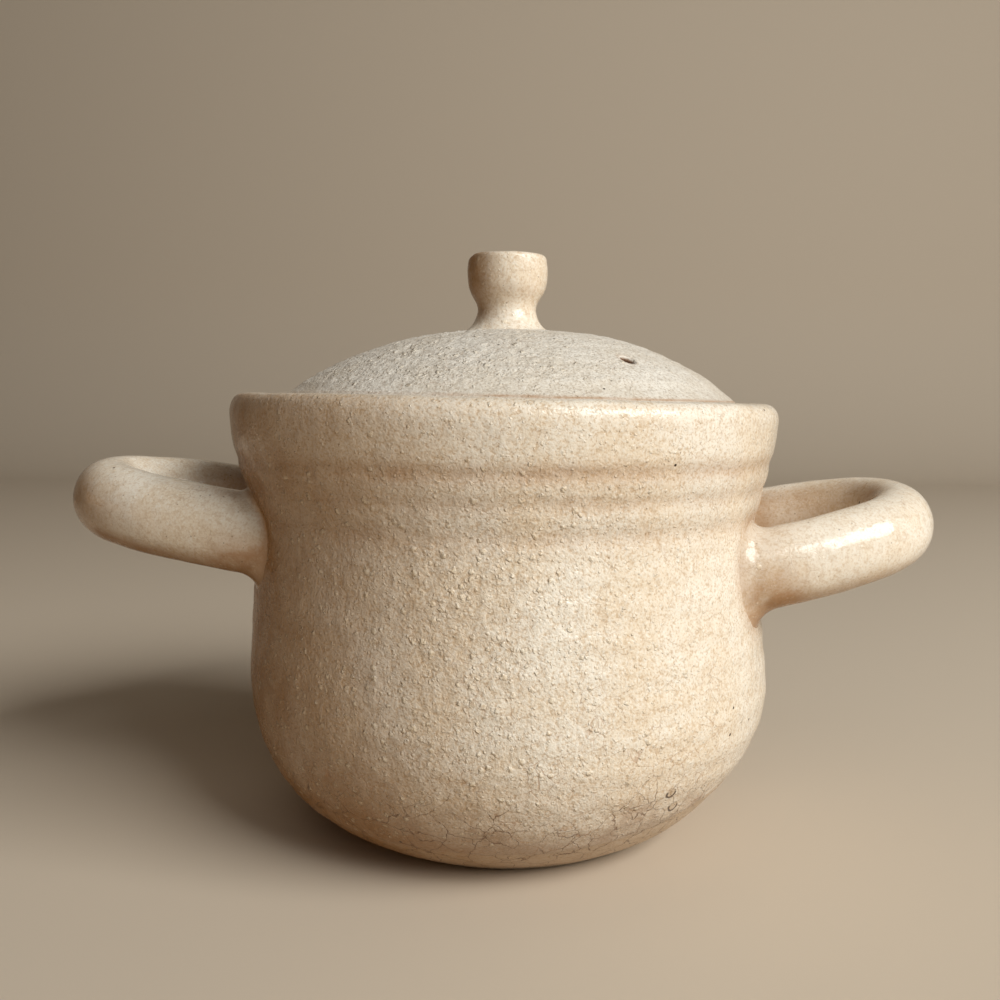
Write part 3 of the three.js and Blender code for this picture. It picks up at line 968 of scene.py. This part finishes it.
def make_camera():
    """The camera that took the picture, in front of the pot and a little above its rim."""
    data = bpy.data.cameras.new("camera")
    data.lens = CAMERA_LENS
    data.sensor_width = 36
    data.clip_start = 0.01
    camera = bpy.data.objects.new("camera", data)
    place = Matrix.Translation(Vector((CAMERA_SIDE, -CAMERA_DISTANCE, CAMERA_HEIGHT)) * MM)
    look = Matrix.Rotation(np.pi / 2 - CAMERA_PITCH, 4, "X") @ Matrix.Rotation(CAMERA_ROLL, 4, "Z")
    camera.matrix_world = place @ look
    bpy.context.scene.collection.objects.link(camera)
    bpy.context.scene.camera = camera


def make_window(name, around, up, distance, width, height, power, colour):
    """A soft light: degrees to the right of the front, degrees up, and metres from the pot."""
    data = bpy.data.lights.new(name, "AREA")
    data.shape = "RECTANGLE"
    data.size, data.size_y = width, height
    data.energy = power
    data.color = colour
    light = bpy.data.objects.new(name, data)
    around, up = np.radians(around), np.radians(up)
    aim = Vector((0, 0, BELLY_HEIGHT + 30)) * MM
    way = Vector((np.sin(around) * np.cos(up), -np.cos(around) * np.cos(up), np.sin(up)))
    light.location = aim + way * distance
    light.rotation_euler = way.to_track_quat("Z", "Y").to_euler()
    bpy.context.scene.collection.objects.link(light)


def make_stage():
    """A floor that curves up into a backdrop, in metres."""
    far, bend, wide, tall, near = 1.3, 0.35, 2.6, 2.2, -2.4
    angle = np.linspace(0, np.pi / 2, 14)
    profile = [(near, 0.0)]
    profile += [(far + bend * np.sin(a), bend * (1 - np.cos(a))) for a in angle]
    profile += [(far + bend, tall)]
    points = [(x, y, z) for y, z in profile for x in (-wide, wide)]
    faces = [(2 * i, 2 * i + 1, 2 * i + 3, 2 * i + 2) for i in range(len(profile) - 1)]
    mesh = bpy.data.meshes.new("stage")
    mesh.from_pydata(points, [], faces)
    mesh.shade_smooth()
    mesh.materials.append(plain("stage_paper", STAGE_PAPER, 0.8))
    stage = bpy.data.objects.new("stage", mesh)
    bpy.context.scene.collection.objects.link(stage)


def make_lights():
    """A window on the right, two weak fills and a dim warm room."""
    make_window("window", 52, 35, 2.2, 1.5, 0.9, 53, (1.0, 1.0, 0.98))
    make_window("front_fill", 5, 42, 2.0, 1.4, 1.4, 4.6, (1.0, 0.96, 0.9))
    make_window("warm_fill", -75, 8, 1.3, 1.4, 0.3, 0.45, (1.0, 0.4, 0.1))
    world = bpy.data.worlds.new("room")
    world.use_nodes = True
    background = world.node_tree.nodes["Background"]
    background.inputs["Color"].default_value = (1.0, 0.82, 0.62, 1)
    background.inputs["Strength"].default_value = 0.03
    bpy.context.scene.world = world
    bpy.context.scene.view_settings.view_transform = "Standard"


make_camera()
make_stage()
make_lights()

pot = make_pot()
pot.data.materials.append(make_glaze("pot_glaze", WARM_COLOURS, 1.0, 0.16, 0.31, CHIPS))
handle_glaze = make_glaze("handle_glaze", WARM_COLOURS, 0.35, 0.07, 0.2)
for handle_name, handle_sizes in HANDLES.items():
    make_handle(handle_name, handle_sizes).data.materials.append(handle_glaze)
lid = make_lid()
lid.data.materials.append(make_glaze("lid_glaze", LID_COLOURS_AND_SKYLIGHT, 1.1, 0.32, 0.48, hole=True))
knob = make_knob()
knob.data.materials.append(make_glaze("knob_glaze", WARM_COLOURS, 0.5, 0.13, 0.3))
